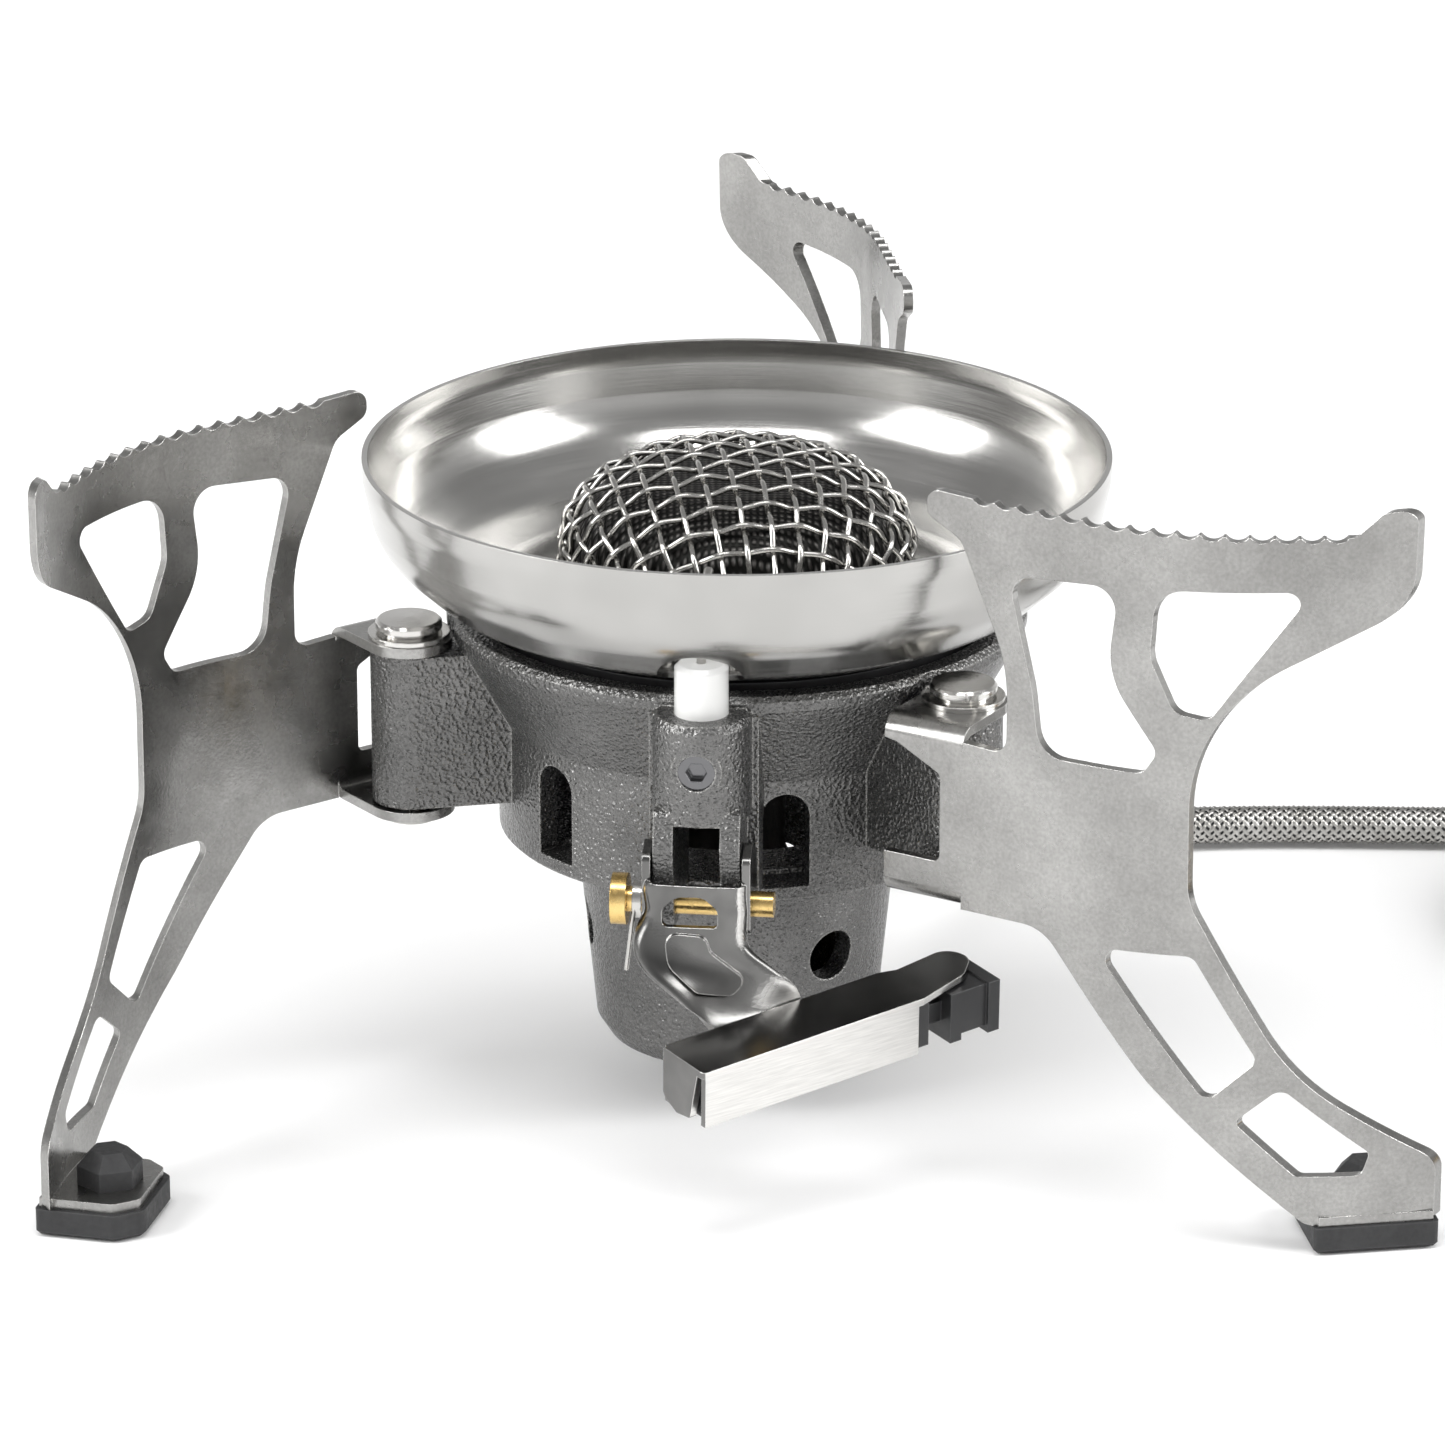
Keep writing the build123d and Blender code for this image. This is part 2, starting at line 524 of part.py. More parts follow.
# ---- folding legs ----
# In a leg's own frame the hinge pin is on the Z axis and the plate starts along +X.
# A place on the plate is given by its distance along the plate and its height.
def plate_point(distance, depth=0.0):
    """Plan point at a distance along the plate, depth in from its outer face."""
    x = LEG_START_X + min(distance, LEG_STRAIGHT)
    y = -LEG_FACE_OFFSET
    heading = 0.0
    bends = (
        (LEG_STRAIGHT, LEG_BEND_1_END, LEG_BEND_1_R),
        (LEG_BEND_1_END, LEG_LENGTH + 9, LEG_BEND_2_R),
    )
    for start, end, radius in bends:
        run = min(distance, end) - start
        if run > 0:
            turn = run / radius
            x += radius * (sin(heading + turn) - sin(heading))
            y -= radius * (cos(heading + turn) - cos(heading))
            heading += turn
    return (x - depth * sin(heading), y + depth * cos(heading)), degrees(heading)


def plate_band():
    """The whole curved strip of sheet that a leg is cut from."""
    def arc(distances, depth):
        return ThreePointArc(*[plate_point(distance, depth)[0] for distance in distances])

    bends = ((LEG_STRAIGHT, 23.0, LEG_BEND_1_END), (LEG_BEND_1_END, 45.0, LEG_LENGTH))
    outer = [arc(bend, 0.0) for bend in bends]
    inner = [arc(bend, LEG_SHEET) for bend in bends]
    edges = [Line(plate_point(-12)[0], plate_point(LEG_STRAIGHT)[0])] + outer
    edges.append(Line(plate_point(LEG_LENGTH)[0], plate_point(LEG_LENGTH, LEG_SHEET)[0]))
    edges += inner
    edges.append(Line(plate_point(LEG_STRAIGHT, LEG_SHEET)[0], plate_point(-12, LEG_SHEET)[0]))
    edges.append(Line(plate_point(-12)[0], plate_point(-12, LEG_SHEET)[0]))
    face = make_face(edges)
    return Pos(0, 0, FOOT_Z) * extrude(face, 82.0)


def plate_prism(corners):
    """Cutter whose outline is given along the plate and in height."""
    return upright_plane([(plate_point(s)[0][0], z, r) for s, z, r in corners], 60.0)


LEG_OUTLINE = [
    (-10.6, TAB_LOW_Z, 0), (9.4, TAB_LOW_Z - 0.1, 5.0), (21.5, 19.2, 30.0), (39.0, FOOT_Z + 0.4, 1.5),
    (40.4, FOOT_Z, 0.5), (53.2, FOOT_Z, 0.5), (53.2, 10.0, 3.2), (37.2, 20.2, 28.0), (25.9, 39.8, 8.0),
    (25.8, 60.7, 19.0), (48.8, 72.6, 6.5), (49.0, 83.0, 1.4), (45.4, 82.9, 1.2), (42.4, TOOTH_Z, 1.0),
    (0.4, TOOTH_Z, 3.0), (-5.1, 80.6, 1.5), (-5.1, 77.7, 1.4), (-1.0, 75.6, 2.6), (4.8, 62.6, 18.0),
    (4.8, 52.7, 1.7), (-0.9, 53.0, 0.3), (-0.6, TAB_TOP_Z, 0), (-10.6, TAB_TOP_Z, 0),
]
LEG_HOLES = [
    [(4.7, 72.6, 2.2), (17.8, 73.7, 2.6), (16.6, 64.0, 9.0), (22.4, 56.0, 1.4), (20.8, 53.5, 1.6),
     (8.7, 53.3, 3.2), (7.8, 60.5, 16.0)],
    [(21.8, 74.0, 3.4), (38.2, 74.5, 1.3), (27.7, 60.0, 1.5), (24.0, 60.6, 2.0), (21.3, 66.4, 4.0)],
    [(15.7, 33.2, 1.4), (26.6, 33.6, 1.4), (33.7, 22.0, 1.2), (28.3, 17.1, 1.2)],
    [(31.3, 15.0, 0.8), (36.2, 19.0, 1.2), (45.9, 11.3, 1.0), (45.0, 8.7, 0.9), (38.0, 8.8, 0.9)],
]
WINDOW = [(-12.0, 38.9, 0), (-3.2, 38.9, 0.8), (-3.2, 48.9, 0.9), (-8.6, 51.6, 1.5), (-12.0, 52.2, 0)]


def hinge_tabs():
    """Channel bent from the plate: one tab over the lug and one under it."""
    face_y = -LEG_FACE_OFFSET
    half = TAB_HALF_WIDTH
    profile = rounded_face([
        (face_y, TAB_LOW_Z, 1.8), (half, TAB_LOW_Z, 0), (half, TAB_LOW_Z + LEG_SHEET, 0),
        (face_y + LEG_SHEET, TAB_LOW_Z + LEG_SHEET, 0.8),
        (face_y + LEG_SHEET, TAB_TOP_Z - LEG_SHEET, 0.8),
        (half, TAB_TOP_Z - LEG_SHEET, 0), (half, TAB_TOP_Z, 0), (face_y, TAB_TOP_Z, 2.2)])
    channel = extrude(Plane.YZ * profile, half, both=True)
    plan = Circle(half) + Pos(0, -4.5) * Rectangle(2 * half, 9.0)
    return channel & Pos(0, 0, 30.0) * extrude(plan, 30.0)


def foot_tab():
    """Flat tab bent in at the foot of the leg, with the pad's hole."""
    (x, y), heading = plate_point(46.8)
    tab = rounded_face([
        (-6.2, 0.0, 0), (6.3, 0.0, 0), (6.3, 8.2, 1.2), (4.2, 10.6, 1.0), (-4.4, 10.6, 1.0),
        (-6.2, 8.4, 1.0)])
    tab -= Pos(0.2, 6.0) * Circle(2.0)
    return Pos(x, y, FOOT_Z) * Rot(0, 0, heading) * extrude(tab, LEG_SHEET)


def tooth_notches():
    """Shallow scallops along the pot edge."""
    cutters = []
    for tooth in range(TOOTH_COUNT):
        (x, y), heading = plate_point(1.6 + TOOTH_PITCH * tooth)
        notch = Pos(x, y, TOOTH_Z + 0.95) * Rot(0, 0, heading) * Rot(90, 0, 0) * Cylinder(1.5, 8.0)
        cutters.append(notch)
    return cutters


def leg_plate():
    """Leg in its own frame: curved sheet, cut-outs, teeth, hinge tabs and foot tab."""
    leg = plate_band() & plate_prism(LEG_OUTLINE)
    for hole in LEG_HOLES:
        leg -= plate_prism(hole)
    leg -= box_between((-6.0, -9.2, 30.0), (TAB_HALF_WIDTH, -6.0, 58.0))
    leg += hinge_tabs()
    leg -= plate_prism(WINDOW) & box_between((-8.0, -9.4, 36.0), (3.0, -7.0, 53.0))
    leg += foot_tab()
    for notch in tooth_notches():
        leg -= notch
    leg -= Pos(0, 0, 30.0) * Cylinder(PIN_R, 30.0, align=(Align.CENTER, Align.CENTER, Align.MIN))
    return leg


def hinge_pin():
    """Rivet: low domed head above, shank through tabs and lug, peened end below."""
    return turned([
        (0, 33.2), (2.9, 33.2), (3.1, 33.5), (3.1, TAB_LOW_Z), (PIN_R, TAB_LOW_Z),
        (PIN_R, RIVET_HEAD_Z), (3.2, RIVET_HEAD_Z), (3.2, 55.3), (3.65, 55.3), (3.65, 56.0),
        (3.35, 56.3), (0, 56.4)])


def hinge_washer():
    """Flat washer between the rivet's head and the upper tab."""
    ring = rod((0, 0, TAB_TOP_Z), (0, 0, RIVET_HEAD_Z), 4.5)
    return ring - Cylinder(PIN_R, 200.0)


def foot_pad():
    """Rubber pad with a neck through the foot tab and a faceted plug on top."""
    (x, y), heading = plate_point(46.8)
    sole = rounded_face([
        (-6.7, -0.4, 0.6), (6.9, -0.4, 0.6), (6.9, 8.6, 1.4), (4.6, 11.2, 1.2), (-4.8, 11.2, 1.2),
        (-6.7, 8.9, 1.2)])
    pad = extrude(sole, FOOT_Z)
    pad = chamfer(pad.edges().group_by(Axis.Z)[0], 0.45)
    neck = Pos(0.2, 6.0, FOOT_Z) * Cylinder(2.0, LEG_SHEET, align=(Align.CENTER, Align.CENTER, Align.MIN))
    base = Pos(0.2, 6.0, FOOT_Z + LEG_SHEET) * extrude(RegularPolygon(3.6, 6), 2.2)
    crown = loft([
        Pos(0.2, 6.0, FOOT_Z + LEG_SHEET + 2.2) * RegularPolygon(3.6, 6),
        Pos(0.2, 6.0, FOOT_Z + LEG_SHEET + 3.8) * RegularPolygon(2.0, 6)])
    return Pos(x, y, 0) * Rot(0, 0, heading) * (pad + neck + base + crown)


def leg_place(name):
    """Location of a leg's frame at rest."""
    x, y, z = polar(PIN_CIRCLE_R, PIN_AZIMUTHS[name])
    return Pos(x, y, 0) * Rot(0, 0, PIN_AZIMUTHS[name] + LEG_DIRECTION + LEG_REST_SWING[name])


# ---- hose ----
def turn_radii(route):
    """Arc radius at each inner point of the route, as large as its runs allow."""
    radii = []
    for before, here, after in zip(route, route[1:], route[2:]):
        back = Vector(*here) - Vector(*before)
        ahead = Vector(*after) - Vector(*here)
        turn = radians(back.get_angle(ahead))
        radii.append(0.45 * min(back.length, ahead.length) / tan(turn / 2))
    return radii


def tube_along(route, diameter):
    """Round tube along straight runs joined by tangent arcs."""
    radii = turn_radii(route)
    path = FilletPolyline(*route, radius=radii)
    first = Vector(*route[1]) - Vector(*route[0])
    section = Plane(origin=route[0], z_dir=first) * Circle(diameter / 2)
    return sweep(section, path=path), path.length, radii


def hose_lead():
    """Hose from the stove's ferrule to the start of the coil."""
    solid, length, radii = tube_along(HOSE_ROUTE, HOSE_D)
    section = pi * HOSE_D ** 2 / 4
    print("hose_lead length %.1f mm, volume ratio %.4f" % (length, solid.volume / (section * length)))
    print("hose_lead arc radii", ["%.0f" % r for r in radii])
    return solid


def coil_ring(start, sweep_angle, centre_z):
    """Part of one turn of the coil, as a square-shouldered ring segment."""
    half = HOSE_D / 2
    section = Plane.XZ * Pos(COIL_R, centre_z) * Rectangle(2 * half, 2 * half)
    ring = revolve(section, Axis.Z, sweep_angle)
    return Pos(COIL_CENTRE[0], COIL_CENTRE[1], 0) * Rot(0, 0, start) * ring


def hose_coil():
    """Outer shape of the hose wound once round, with its end lying on the first turn."""
    half = HOSE_D / 2
    lower = coil_ring(128, 322, half + 0.05)
    upper = coil_ring(0, 140, 3 * half + 0.05)
    return lower + upper


def hose_tail():
    """Last short length of hose, from the coil to the valve's ferrule."""
    x = COIL_CENTRE[0] + COIL_R
    y = COIL_CENTRE[1]
    return rod((x, y, VALVE_AXIS_Z), (x, VALVE_Y + 24.0, VALVE_AXIS_Z), HOSE_D / 2)


# ---- canister valve ----
def valve_point(dy, z):
    """Point on the valve's middle plane, dy along the hose's direction."""
    return (VALVE_X, VALVE_Y + dy, z)


def valve_ferrule():
    """Crimped sleeve where the hose enters the valve."""
    return rod(valve_point(14.0, VALVE_AXIS_Z), valve_point(24.0, VALVE_AXIS_Z), FERRULE_R)


def valve_body():
    """Brass body: upright barrel, hose boss one side and spindle boss the other."""
    barrel = rod(valve_point(0, 0), valve_point(0, COLLAR_LOW_Z), 8.0)
    hose_boss = rod(valve_point(0, VALVE_AXIS_Z), valve_point(14.0, VALVE_AXIS_Z), 4.4)
    spindle_boss = rod(valve_point(0, VALVE_AXIS_Z), valve_point(-9.0, VALVE_AXIS_Z), 4.4)
    body = barrel + hose_boss + spindle_boss
    body -= rod(
        valve_point(-2.0, VALVE_AXIS_Z), valve_point(-12.0, VALVE_AXIS_Z), SPINDLE_R + PIN_CLEARANCE)
    body -= rod(valve_point(0, 8.0), valve_point(0, 14.0), 0.9)
    return body


def valve_collar():
    """Grip collar with the canister's threaded socket, mouth up."""
    collar = rod(valve_point(0, COLLAR_LOW_Z), valve_point(0, COLLAR_TOP_Z), COLLAR_R)
    collar = chamfer(collar.edges().group_by(Axis.Z)[-1], 0.8)
    collar -= rod(valve_point(0, COLLAR_TOP_Z - SOCKET_DEPTH), valve_point(0, COLLAR_TOP_Z + 2), THREAD_R)
    collar -= rod(valve_point(0, COLLAR_LOW_Z - 1), valve_point(0, COLLAR_TOP_Z), 0.9)
    collar -= rod(valve_point(0, COLLAR_TOP_Z - SOCKET_DEPTH - 1.2), valve_point(0, COLLAR_TOP_Z - 4), 4.6)
    for step in range(24):
        x, y, z = polar(COLLAR_R + 0.5, 15 * step)
        collar -= Pos(VALVE_X + x, VALVE_Y + y, 17) * Cylinder(1.0, 14)
    return collar


def valve_oring():
    """Sealing ring in the recess at the bottom of the socket."""
    return Pos(VALVE_X, VALVE_Y, COLLAR_TOP_Z - SOCKET_DEPTH - 0.7) * Torus(3.9, 0.5)


def depressor_pin():
    """Pin that opens the canister's valve."""
    return rod(valve_point(0, 8.6), valve_point(0, COLLAR_TOP_Z - SOCKET_DEPTH - 0.2), 0.9)


def packing_nut():
    """Hexagon nut round the spindle."""
    seat = Plane(origin=valve_point(-9.0, VALVE_AXIS_Z), z_dir=(0, -1, 0))
    nut = seat * extrude(RegularPolygon(4.4, 6), 4.0)
    bore = rod(valve_point(-5.0, VALVE_AXIS_Z), valve_point(-20.0, VALVE_AXIS_Z), SPINDLE_R + PIN_CLEARANCE)
    return nut - bore


def valve_spindle():
    """Spindle with a cross hole at its outer end for the wire handle."""
    outer_end = valve_point(HANDLE_PIVOT_Y - 2.6, VALVE_AXIS_Z)
    spindle = rod(valve_point(-4.0, VALVE_AXIS_Z), outer_end, SPINDLE_R)
    spindle += rod(valve_point(-2.6, VALVE_AXIS_Z), valve_point(-4.0, VALVE_AXIS_Z), 0.6, SPINDLE_R)
    spindle += rod(outer_end, valve_point(HANDLE_PIVOT_Y + 2.4, VALVE_AXIS_Z), 2.6)
    x, y, z = valve_point(HANDLE_PIVOT_Y, VALVE_AXIS_Z)
    return spindle - rod((x - 4, y, z), (x + 4, y, z), HANDLE_WIRE_R + PIN_CLEARANCE)


def wire_handle():
    """Wire loop whose two ends meet in the spindle's cross hole."""
    x, y, z = valve_point(HANDLE_PIVOT_Y, VALVE_AXIS_Z)
    half = 8.0
    far = y - 27.0
    path = FilletPolyline(
        (x - 0.3, y, z), (x - 4.6, y, z), (x - half, y - 6.0, z), (x - half, far, z), (x + half, far, z),
        (x + half, y - 6.0, z), (x + 4.6, y, z), (x + 0.3, y, z),
        radius=[1.6, 3.0, 5.0, 5.0, 3.0, 1.6])
    section = Plane(origin=(x - 0.3, y, z), z_dir=(-1, 0, 0)) * Circle(HANDLE_WIRE_R)
    return sweep(section, path=path)


# ---- write the pieces ----
def write(name, shape):
    """Write one node's solids to its own STEP file."""
    export_step(shape, "parts/%s.step" % name)


def main():
    os.makedirs("parts", exist_ok=True)
    fixed = {
        "burner_casting": burner_casting,
        "burner_bowl": burner_bowl,
        "bowl_seat_ring": bowl_seat_ring,
        "burner_head": burner_head,
        "burner_ring_nut": burner_ring_nut,
        "mixing_tube": mixing_tube,
        "flame_spreader": flame_spreader,
        "jet_holder": jet_holder,
        "gas_jet": gas_jet,
        "inlet_fitting": inlet_fitting,
        "stove_ferrule": stove_ferrule,
        "ceramic_insulator": ceramic_insulator,
        "spark_electrode": spark_electrode,
        "grub_screw": grub_screw,
        "lever_pin": lever_pin,
        "lever_spring": lever_spring,
        "lever_bracket": lever_bracket,
        "piezo_body": piezo_body,
        "piezo_button": piezo_button,
        "hose_lead": hose_lead,
        "hose_coil": hose_coil,
        "hose_tail": hose_tail,
        "valve_ferrule": valve_ferrule,
        "valve_body": valve_body,
        "valve_collar": valve_collar,
        "valve_oring": valve_oring,
        "depressor_pin": depressor_pin,
        "packing_nut": packing_nut,
        "valve_spindle": valve_spindle,
        "wire_handle": wire_handle,
    }
    for name, maker in fixed.items():
        write(name, maker())
    write("mesh_cap", domed_shell(DOME_R, DOME_TOP_Z, 57.9, 1.6))
    write("inner_gauze", domed_shell(DOME_R - 2.4, DOME_TOP_Z - 3.0, 58.6, 0.5))
    plate = leg_plate()
    pin = hinge_pin()
    washer = hinge_washer()
    pad = foot_pad()
    for name in PIN_AZIMUTHS:
        place = leg_place(name)
        write("leg_%s" % name, place * plate)
        write("hinge_pin_%s" % name, place * pin)
        write("hinge_washer_%s" % name, place * washer)
        write("foot_pad_%s" % name, place * pad)


main()
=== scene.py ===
import bpy
import bmesh
import json
import math
from mathutils import Matrix, Vector


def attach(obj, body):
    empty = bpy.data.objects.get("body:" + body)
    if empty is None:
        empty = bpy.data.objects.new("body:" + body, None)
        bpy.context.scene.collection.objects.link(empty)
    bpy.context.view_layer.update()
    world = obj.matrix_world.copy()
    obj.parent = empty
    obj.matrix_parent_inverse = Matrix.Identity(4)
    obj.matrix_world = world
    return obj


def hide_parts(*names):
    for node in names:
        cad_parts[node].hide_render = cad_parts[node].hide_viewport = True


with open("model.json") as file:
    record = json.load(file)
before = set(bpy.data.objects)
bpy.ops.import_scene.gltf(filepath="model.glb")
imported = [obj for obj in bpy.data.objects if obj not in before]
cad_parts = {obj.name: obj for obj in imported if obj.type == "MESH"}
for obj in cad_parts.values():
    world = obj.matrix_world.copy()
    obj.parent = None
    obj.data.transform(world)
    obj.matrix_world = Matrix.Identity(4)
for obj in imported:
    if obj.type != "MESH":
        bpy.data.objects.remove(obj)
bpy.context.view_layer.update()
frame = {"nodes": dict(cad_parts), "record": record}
nodes = frame["nodes"]

# Everything is in metres. MM turns the CAD model's millimetres into metres.
MM = 0.001

# ---- camera ----
CAMERA_ELEVATION = math.radians(20.49)
CAMERA_DISTANCE = 0.8299
CAMERA_TARGET_Z = 0.0414
CAMERA_LENS = 186.74
CAMERA_SHIFT_X = -0.00997


def make_camera():
    """Long-lens camera in front of the stove, looking down a little."""
    data = bpy.data.cameras.new("camera")
    data.lens = CAMERA_LENS
    data.sensor_width = 36.0
    data.shift_x = CAMERA_SHIFT_X
    data.clip_start = 0.01
    data.clip_end = 50.0
    data.dof.use_dof = False
    camera = bpy.data.objects.new("camera", data)
    bpy.context.collection.objects.link(camera)
    back = Vector((0.0, -math.cos(CAMERA_ELEVATION), math.sin(CAMERA_ELEVATION)))
    camera.location = Vector((0.0, 0.0, CAMERA_TARGET_Z)) + back * CAMERA_DISTANCE
    camera.rotation_mode = "QUATERNION"
    camera.rotation_quaternion = (-back).to_track_quat("-Z", "Y")
    bpy.context.scene.camera = camera


# ---- lines and tubes ----
def new_curve(name, kind):
    """Curve with one empty spline of a kind."""
    curve = bpy.data.curves.new(name, "CURVE")
    curve.dimensions = "3D"
    curve.resolution_u = 24
    return curve, curve.splines.new(kind)


def points_of(curve):
    """Points along a curve with no bevel. The curve is removed."""
    holder = bpy.data.objects.new(curve.name, curve)
    mesh = bpy.data.meshes.new_from_object(holder)
    line = [v.co.copy() for v in mesh.vertices]
    bpy.data.objects.remove(holder)
    bpy.data.curves.remove(curve)
    bpy.data.meshes.remove(mesh)
    return line


def line_length(line):
    return sum((b - a).length for a, b in zip(line, line[1:]))


def along(line, distance):
    """Point and direction at a distance along a line of points."""
    for a, b in zip(line, line[1:]):
        step = (b - a).length
        if distance <= step:
            return a.lerp(b, distance / step), (b - a).normalized()
        distance -= step
    end = (line[-1] - line[-2]).normalized()
    return line[-1] + end * distance, end


def add_tube(bm, centres, radius, sides=8):
    """Adds a closed-ended tube round a line of points."""
    rings = []
    up = Vector((0, 0, 1))
    for index, centre in enumerate(centres):
        before = centres[max(index - 1, 0)]
        after = centres[min(index + 1, len(centres) - 1)]
        heading = (after - before).normalized()
        if abs(heading.dot(up)) > 0.95:
            up = Vector((1, 0, 0))
        side = heading.cross(up).normalized()
        up = side.cross(heading).normalized()
        ring = []
        for k in range(sides):
            a = 2 * math.pi * k / sides
            ring.append(bm.verts.new(centre + (side * math.cos(a) + up * math.sin(a)) * radius))
        rings.append(ring)
    for a, b in zip(rings, rings[1:]):
        for k in range(sides):
            bm.faces.new((a[k], a[(k + 1) % sides], b[(k + 1) % sides], b[k]))
    bm.faces.new(list(reversed(rings[0])))
    bm.faces.new(rings[-1])


def make_object(name, bm, material):
    """Links a finished bmesh as a smooth piece with one material."""
    bmesh.ops.recalc_face_normals(bm, faces=bm.faces)
    mesh = bpy.data.meshes.new(name)
    bm.to_mesh(mesh)
    bm.free()
    piece = bpy.data.objects.new(name, mesh)
    bpy.context.collection.objects.link(piece)
    mesh.materials.append(material)
    for face in mesh.polygons:
        face.use_smooth = True
    return piece


# ---- braided hose ----
# Millimetres. The route goes down behind the casting to the ground and away to the right.
HOSE_D = 4.9
HOSE_ROUTE = [
    (7.42, 22.83, 12.0),
    (10.66, 32.81, 12.0),
    (15.8, 43.6, 11.0),
    (23.4, 53.6, 8.4),
    (33.8, 61.6, 5.2),
    (46.0, 66.6, 3.0),
    (59.0, 68.8, 2.5),
    (72.4, 68.9, 2.5),
    (85.0, 68.4, 2.5),
    (96.8, 68.2, 2.5),
    (107.6, 68.0, 2.5),
]
COIL_CENTRE = (118.0, 40.0)
COIL_R = 28.0
COIL_STEPS = 22
COIL_TURN = 1.25
COIL_LOW_Z = 2.5
# The last part of the coil climbs onto the first, over this stretch in degrees of turn.
COIL_CLIMB = 4.95
COIL_CLIMB_FROM = 262.0
COIL_CLIMB_OVER = 60.0
HOSE_END_ROUTE = [(146.0, 30.0, 7.5), (146.0, 18.0, 7.5)]

# Strands of the braid: as many each way, meeting every cell along the hose.
BRAID_CARRIERS = 12
BRAID_CELL = 0.6
SAMPLES_PER_CELL = 2
STRAND_HALF_WIDTH = 0.34
STRAND_LIFT = 0.16
STRAND_CROWN = 0.16
STRAND_INSET = 0.27
CORE_INSET = 0.42


def coil_points():
    """Turns of the coil, clockwise from its far side, the last part on top of the first."""
    points = []
    # Points on the spline's corners stand outside the coil's circle.
    corner_r = COIL_R / math.cos(math.radians(COIL_TURN * 180.0 / COIL_STEPS))
    for step in range(1, COIL_STEPS + 1):
        turned = COIL_TURN * 360.0 * step / COIL_STEPS
        angle = math.radians(90.0 - turned)
        climbed = min(max((turned - COIL_CLIMB_FROM) / COIL_CLIMB_OVER, 0.0), 1.0)
        height = COIL_LOW_Z + COIL_CLIMB * climbed * climbed * (3 - 2 * climbed)
        points.append((
            COIL_CENTRE[0] + corner_r * math.cos(angle),
            COIL_CENTRE[1] + corner_r * math.sin(angle),
            height))
    return points


def hose_line():
    """The hose's centre line, read from its NURBS spline."""
    route = HOSE_ROUTE + coil_points() + HOSE_END_ROUTE
    curve, spline = new_curve("hose_route", "NURBS")
    spline.points.add(len(route) - 1)
    for point, place in zip(spline.points, route):
        point.co = (*(c * MM for c in place), 1.0)
    spline.order_u = 3
    spline.use_endpoint_u = True
    return points_of(curve)


def carried_frames(line, spacing):
    """Evenly spaced points with two crosswise directions that don't twist."""
    total = line_length(line)
    count = int(total / spacing)
    places = []
    travelled, target = 0.0, 0.0
    for a, b in zip(line, line[1:]):
        step = (b - a).length
        while target <= travelled + step and len(places) <= count:
            places.append(a.lerp(b, (target - travelled) / step))
            target += total / count
        travelled += step
    if len(places) <= count:
        places.append(line[-1].copy())
    frames = []
    up = Vector((0, 0, 1))
    for index, place in enumerate(places):
        heading = (places[min(index + 1, count)] - places[max(index - 1, 0)]).normalized()
        side = heading.cross(up).normalized()
        up = side.cross(heading).normalized()
        frames.append((place, side, up))
    return frames


def add_strand(bm, frames, start, direction):
    """Adds one flat strand that winds round the hose, over and under the ones that cross it."""
    mean_r = (HOSE_D / 2 - STRAND_INSET) * MM
    previous = None
    for index, (place, side, up) in enumerate(frames):
        cells = index / SAMPLES_PER_CELL
        angle = start + direction * math.pi * cells / BRAID_CARRIERS
        radius = mean_r + STRAND_LIFT * MM * direction * math.cos(math.pi * cells)
        row = []
        for across, sink in ((-1.0, STRAND_CROWN), (0.0, 0.0), (1.0, STRAND_CROWN)):
            a = angle + across * STRAND_HALF_WIDTH * MM / mean_r
            out = side * math.cos(a) + up * math.sin(a)
            row.append(bm.verts.new(place + out * (radius - sink * MM)))
        if previous:
            for k in range(2):
                bm.faces.new((previous[k], previous[k + 1], row[k + 1], row[k]))
        previous = row


def braided_hose(wire, core_rubber):
    """Two sets of flat strands woven over and under each other round a dark core."""
    line = hose_line()
    frames = carried_frames(line, BRAID_CELL * MM / SAMPLES_PER_CELL)
    bm = bmesh.new()
    for direction in (1, -1):
        for carrier in range(BRAID_CARRIERS):
            add_strand(bm, frames, 2 * math.pi * carrier / BRAID_CARRIERS, direction)
    strand_faces = len(bm.faces)
    core = [place for place, side, up in frames[::SAMPLES_PER_CELL]]
    add_tube(bm, core, (HOSE_D / 2 - CORE_INSET) * MM, 16)
    hose = make_object("braided_hose", bm, wire)
    hose.data.materials.append(core_rubber)
    for face in hose.data.polygons[strand_faces:]:
        face.material_index = 1
    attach(hose, "root")
    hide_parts("hose_lead", "hose_coil", "hose_tail")


# ---- woven mesh dome ----
# Millimetres. The line runs from the dome's top, as distance from the axis and height.
DOME_LINE = [
    (0.0, 72.7), (5.0, 72.5), (9.5, 71.7), (13.8, 70.1), (16.6, 68.2), (18.6, 65.5),
    (19.3, 62.0), (19.4, 58.3),
]
WIRE_R = 0.33
WIRE_PITCH = 3.1
WIRE_CRIMP = 1.02 * WIRE_R
WEAVE_TURN = math.radians(8.4)
SAMPLES_PER_PITCH = 6
# Wires that would run closer than this many pitches to the rim are left out.
CLOTH_MARGIN = 0.6


def dome_line():
    """Smooth line down the dome, in metres, in the plane of X and Z."""
    curve, spline = new_curve("dome_line", "BEZIER")
    spline.bezier_points.add(len(DOME_LINE) - 1)
    for point, (x, z) in zip(spline.bezier_points, DOME_LINE):
        point.co = (x, 0, z)
        point.handle_left_type = "AUTO"
        point.handle_right_type = "AUTO"
    return [p * MM for p in points_of(curve)]


def dome_place(line, u, v):
    """Point and outward normal on the dome for a place on the flat cloth."""
    point, heading = along(line, math.hypot(u, v))
    outward = Vector((-heading.z, 0, heading.x))
    if outward.z < 0 or (outward.z < 1e-6 and outward.x < 0):
        outward = -outward
    spin = Matrix.Rotation(math.atan2(v, u) + WEAVE_TURN, 3, "Z")
    return spin @ point, spin @ outward


